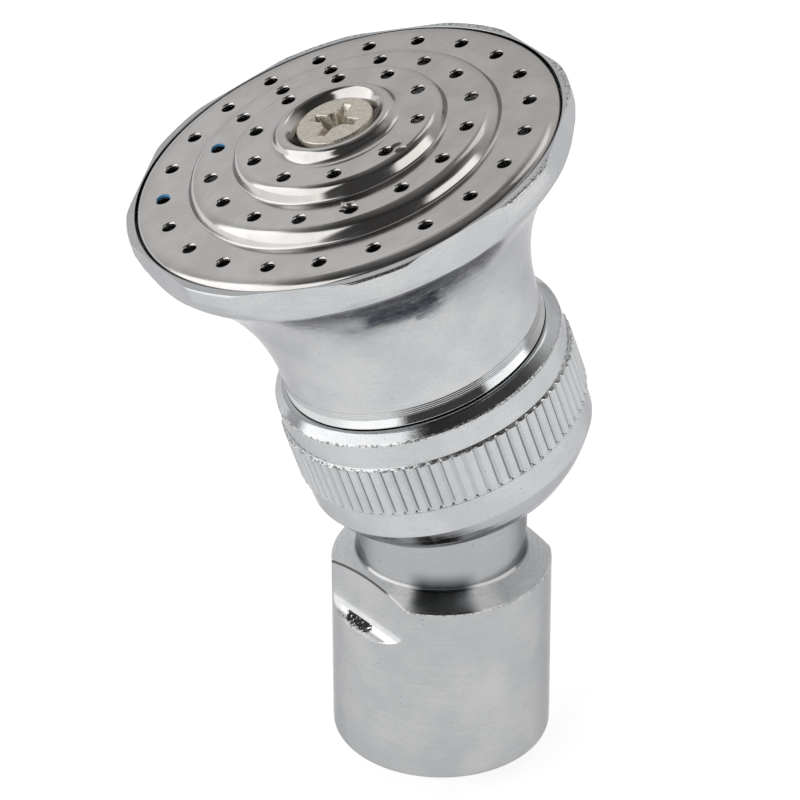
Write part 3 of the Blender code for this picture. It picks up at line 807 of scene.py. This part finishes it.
def drilled_band(count, ring, first, inner, outer, height):
    """A flat band of the plate with its ring of eased holes; points and faces."""
    centres = [(ring * math.cos(math.radians(first + 360.0 * index / count)),
                ring * math.sin(math.radians(first + 360.0 * index / count))) for index in range(count)]
    centres = np.array(centres)
    points = [ring_points(inner), ring_points(outer)]
    for radius in np.arange(inner + 0.45, outer - 0.2, 0.45):
        loop = ring_points(radius)
        gap = np.linalg.norm(loop[:, None, :] - centres[None, :, :], axis=-1).min(axis=1)
        points.append(loop[gap > HOLE + HOLE_EASE + 0.25])
    base = sum(len(group) for group in points)
    edges = []
    for start in (0, PLATE_COLUMNS):
        edges += [(start + index, start + (index + 1) % PLATE_COLUMNS) for index in range(PLATE_COLUMNS)]
    reaches = [HOLE + HOLE_EASE * share for share in (0.0, 0.04, 0.14, 0.3, 0.52, 0.78, 1.0)]
    reaches.append(HOLE + HOLE_EASE + 0.08)
    for centre in centres:
        for reach in reaches:
            loop = centre + ring_points(reach, HOLE_SIDES)
            edges += [(base + index, base + (index + 1) % HOLE_SIDES) for index in range(HOLE_SIDES)]
            points.append(loop)
            base += HOLE_SIDES
    flat = np.concatenate(points)
    result = delaunay_2d_cdt([Vector(point) for point in flat], edges, [], 0, 1e-6)
    spots = np.array([tuple(point) for point in result[0]])
    faces = []
    for face in result[2]:
        middle = spots[list(face)].mean(axis=0)
        reach = math.hypot(*middle)
        gap = np.linalg.norm(centres - middle, axis=1).min()
        if inner < reach < outer and gap > HOLE * 0.98:
            faces.append(list(face))
    gap = np.linalg.norm(spots[:, None, :] - centres[None, :, :], axis=-1).min(axis=1)
    short = np.clip(HOLE + HOLE_EASE - gap, 0.0, HOLE_EASE)
    drop = HOLE_EASE - np.sqrt(np.maximum(HOLE_EASE ** 2 - short ** 2, 0.0))
    lifted = np.column_stack([spots, height - drop])
    return lifted, faces


def plate_mesh():
    """The plate's top face: plain rings joined to the drilled bands."""
    rows = plate_rows()
    made = bmesh.new()

    def add(points, faces):
        verts = [made.verts.new(point) for point in (points * MM)]
        for face in faces:
            try:
                made.faces.new([verts[index] for index in face])
            except ValueError:
                pass

    bands = []
    for count, ring, first, inner, outer in RINGS:
        height = float(np.interp(ring, rows[:, 0], rows[:, 1]))
        bands.append((inner, outer))
        add(*drilled_band(count, ring, first, inner, outer, height))
    plain = [[]]
    marks = sorted({float(value) for band in bands for value in band})
    for radius, height in rows:
        inside = any(low - 0.01 < radius < high + 0.01 for low, high in bands) and height > 37.7
        while marks and radius > marks[0] - 1e-9:
            mark = marks.pop(0)
            level = float(np.interp(mark, rows[:, 0], rows[:, 1]))
            plain[-1].append((mark, level))
            if any(abs(mark - low) < 1e-9 for low, _ in bands):
                plain.append([])
        if not inside:
            plain[-1].append((radius, height))
    for group in plain:
        if len(group) < 2:
            continue
        array = np.array(group)[::-1]
        angle = np.linspace(0.0, 2.0 * math.pi, PLATE_COLUMNS, endpoint=False)[None, :]
        grid = np.stack([array[:, :1] * np.cos(angle), array[:, :1] * np.sin(angle),
                         np.repeat(array[:, 1:2], PLATE_COLUMNS, axis=1)], axis=-1)
        count = len(array)
        row = np.arange(count - 1)[:, None]
        column = np.arange(PLATE_COLUMNS)[None, :]
        beside = (column + 1) % PLATE_COLUMNS
        faces = np.stack([row * PLATE_COLUMNS + column, row * PLATE_COLUMNS + beside,
                          (row + 1) * PLATE_COLUMNS + beside, (row + 1) * PLATE_COLUMNS + column], axis=-1)
        add(grid.reshape(-1, 3), faces.reshape(-1, 4).tolist())
    bmesh.ops.remove_doubles(made, verts=made.verts, dist=0.00001)
    for face in made.faces:
        face.normal_update()
        if face.normal.z < 0.0:
            face.normal_flip()
    bmesh.ops.recalc_face_normals(made, faces=made.faces)
    mesh = bpy.data.meshes.new("face_plate_pressed")
    made.to_mesh(mesh)
    made.free()
    return mesh


# ------------------------------------------------------------------ face screw

RECESS_AZIMUTH = math.radians(42.0)
SCREW_PITCH = 0.7


def screw_mesh():
    """Screw head with a tapered cross recess, its cone and its shank."""
    rows = outline(
        [
            (0.0, 41.85, 0.0),
            (4.38, 41.85, 0.22),
            (4.46, 41.2, 0.15),
            (2.0, 39.3, 0.1),
            (2.0, 30.4, 0.0),
            (1.6, 30.0, 0.0),
            (0.0, 30.0, 0.0),
        ],
        spacing=0.08,
        closed=False,
    )

    def shape(angle, radius, height):
        top = (height > 41.5) & (radius < 4.1)
        turned = angle - RECESS_AZIMUTH
        x = radius * np.cos(turned)
        y = radius * np.sin(turned)
        deep = np.full_like(radius, -1.0)
        for along, across in ((x, y), (y, x)):
            floor = np.clip((2.95 - np.abs(along)) * 1.3, -1.0, 2.0)
            wall = (0.70 - 0.04 * np.abs(along) - np.abs(across)) * 4.0
            deep = np.maximum(deep, soft_min(floor, wall, 0.25))
        deep = np.maximum(deep, np.clip((1.45 - radius) * 2.4, -1.0, 2.2))
        edge = 0.05 * np.exp(-((deep + 0.18) / 0.16) ** 2)
        thread = (radius > 1.7) & (radius < 2.1) & (height < 38.5) & (height > 30.5)
        turn = (height / SCREW_PITCH - angle / (2.0 * math.pi)) % 1.0
        cut = np.where(thread, 0.3 * (1.0 - np.abs(2.0 * turn - 1.0)), 0.0)
        return radius - cut, np.where(top, height - np.maximum(deep, 0.0) + edge, height)

    return lathe("face_screw_crossed", rows, 360, shape, closed=False, pole=True)


# ------------------------------------------------------------------ build


def build():
    """Make the detailed pieces and give the carried-over ones their materials."""
    base_look = inlet_metal("satin_chrome_base")
    collar_look = finished(*turned_metal(
        "satin_chrome_collar", HEAD, grey(0.585, -0.014), grey(0.51, -0.02), 0.12, 0.24, 0.0015,
        grooves=(0.1, 6.3, 17.14, 17.46), polished=(9.7, 11.0, 0.05),
        wear=[(9.55, 9.9, 16.95, 0.05), (6.25, 6.5, 17.2, 0.08), (-0.05, 0.10, 17.35, 0.08)]))
    bell_look = bell_metal("satin_chrome_bell")
    steel_look = pressed_steel("polished_plate")
    nickel_look = nickel("nickel_screw")
    carried = {
        "inlet_washer": rubber("washer_rubber"),
        "filter_screen": machined("screen_steel"),
        "flow_regulator": moulded("regulator_plastic"),
        "ball_liner": moulded("liner_plastic"),
        "thrust_ring": moulded("thrust_ring_plastic"),
        "ball_seal": rubber("seal_rubber"),
        "seal_backing_washer": machined("washer_steel"),
        "spider": machined("spider_steel"),
        "face_gasket": rubber("gasket_rubber"),
        "screw_washer": rubber("screw_washer_rubber"),
    }
    for name, look in carried.items():
        for holder in frame["nodes"][name].material_slots:
            holder.material = look

    add_piece("inlet_body_turned", lathe("inlet_body_turned", inlet_rows(), 720, inlet_shape), BASE,
              base_look, "inlet", ["inlet_body"], sharp=55.0)
    add_piece("collar_nut_knurled",
              lathe("collar_nut_knurled", collar_rows(), RIDGES * COLUMNS_PER_RIDGE, collar_shape),
              HEAD, collar_look, "collar", ["collar_nut"], sharp=60.0)
    add_piece("bell_turned", lathe("bell_turned", bell_rows(), 640, bell_shape), HEAD_SET,
              bell_look, "head", ["bell"])
    plate = add_piece("face_plate_pressed", plate_mesh(), HEAD_SET, steel_look, "head", ["face_plate"],
                      sharp=60.0)
    shell = plate.modifiers.new("thickness", "SOLIDIFY")
    shell.thickness = PLATE_THICKNESS * MM
    shell.offset = -1.0
    add_piece("face_screw_crossed", screw_mesh(), HEAD_SET, nickel_look, "head", ["face_screw"],
              sharp=50.0)


CAMERA_AZIMUTH = math.radians(-105.51)


def from_camera(azimuth, elevation, distance):
    """A point round the object; azimuth 0 is towards the camera and positive to its right."""
    turn = CAMERA_AZIMUTH + math.radians(azimuth)
    rise = math.radians(elevation)
    level = math.cos(rise)
    return Vector((math.cos(turn) * level, math.sin(turn) * level, math.sin(rise))) * distance


def studio_world():
    """Soft boxes left and right, two high panels and a pale backdrop behind, dark in front and overhead."""
    world = bpy.data.worlds.new("studio")
    bpy.context.scene.world = world
    made = Nodes(world)
    coordinates = made.tree.nodes.new("ShaderNodeTexCoord")
    split = made.tree.nodes.new("ShaderNodeSeparateXYZ")
    made.tree.links.new(coordinates.outputs["Generated"], split.inputs[0])
    x, y, z = split.outputs
    front = from_camera(0.0, 0.0, 1.0)
    side = from_camera(90.0, 0.0, 1.0)
    ahead = made.math("ADD", made.math("MULTIPLY", x, front.x), made.math("MULTIPLY", y, front.y))
    across = made.math("ADD", made.math("MULTIPLY", x, side.x), made.math("MULTIPLY", y, side.y))
    azimuth = made.math("DEGREES", made.math("ARCTAN2", across, ahead))
    elevation = made.math("DEGREES", made.math("ARCSINE", z))
    turned = made.math("ABSOLUTE", azimuth)

    backdrop = made.span(turned, 55.0, 150.0, 0.06, 0.74)
    height = made.span(elevation, 42.0, 66.0, 1.0, 0.12)
    level = made.math("ADD", made.math("MULTIPLY", backdrop, height),
                      made.span(elevation, 50.0, 80.0, 0.0, 0.12))
    panels = (
        # azimuth limits, softness, elevation limits, softness, radiance
        (-104.0, -32.0, 9.0, -6.0, 42.0, 7.0, 1.40),
        (50.0, 94.0, 9.0, 13.0, 36.0, 6.0, 1.40),
        (132.0, 165.5, 4.0, 49.0, 66.5, 4.0, 0.80),
        (-165.5, -132.0, 4.0, 52.0, 66.5, 4.0, 0.40),
    )
    for left, right, side_soft, bottom, top, soft, radiance in panels:
        shape = made.math("MULTIPLY", made.band(azimuth, left, right, side_soft),
                          made.band(elevation, bottom, top, soft))
        level = made.math("ADD", level, made.math("MULTIPLY", shape, radiance))
    shader = made.tree.nodes["Background"]
    shader.inputs["Color"].default_value = (1.0, 1.0, 1.0, 1.0)
    made.tree.links.new(level, shader.inputs["Strength"])


def studio():
    """Pale floor, soft light all round and the camera."""
    floor_mesh = bpy.data.meshes.new("floor")
    made = bmesh.new()
    bmesh.ops.create_grid(made, x_segments=1, y_segments=1, size=3.0)
    made.to_mesh(floor_mesh)
    made.free()
    floor_look = Nodes(bpy.data.materials.new("floor_white"))
    floor_look.shader.inputs["Emission Color"].default_value = (1.0, 1.0, 1.0, 1.0)
    floor_look.shader.inputs["Emission Strength"].default_value = 0.66
    floor_mesh.materials.append(floor_look.finish((0.8, 0.8, 0.8, 1.0), 0.0, 0.9))
    floor = bpy.data.objects.new("floor", floor_mesh)
    floor.location.z = -0.0002
    bpy.context.scene.collection.objects.link(floor)

    studio_world()

    data = bpy.data.cameras.new("camera")
    data.lens = 183.10
    data.sensor_width = 36.0
    data.clip_start = 0.01
    data.clip_end = 20.0
    camera = bpy.data.objects.new("camera", data)
    right = Vector((0.96294163, -0.26968018, -0.00400225))
    up = Vector((0.14139609, 0.49213261, 0.85896021))
    behind = Vector((-0.22967491, -0.82769444, 0.5120267))
    turn = Matrix((right, up, behind)).transposed().to_4x4()
    camera.matrix_world = Matrix.Translation((-0.112256, -0.386578, 0.284508)) @ turn
    bpy.context.scene.collection.objects.link(camera)
    bpy.context.scene.camera = camera
    bpy.context.scene.view_settings.view_transform = "Standard"


build()
studio()
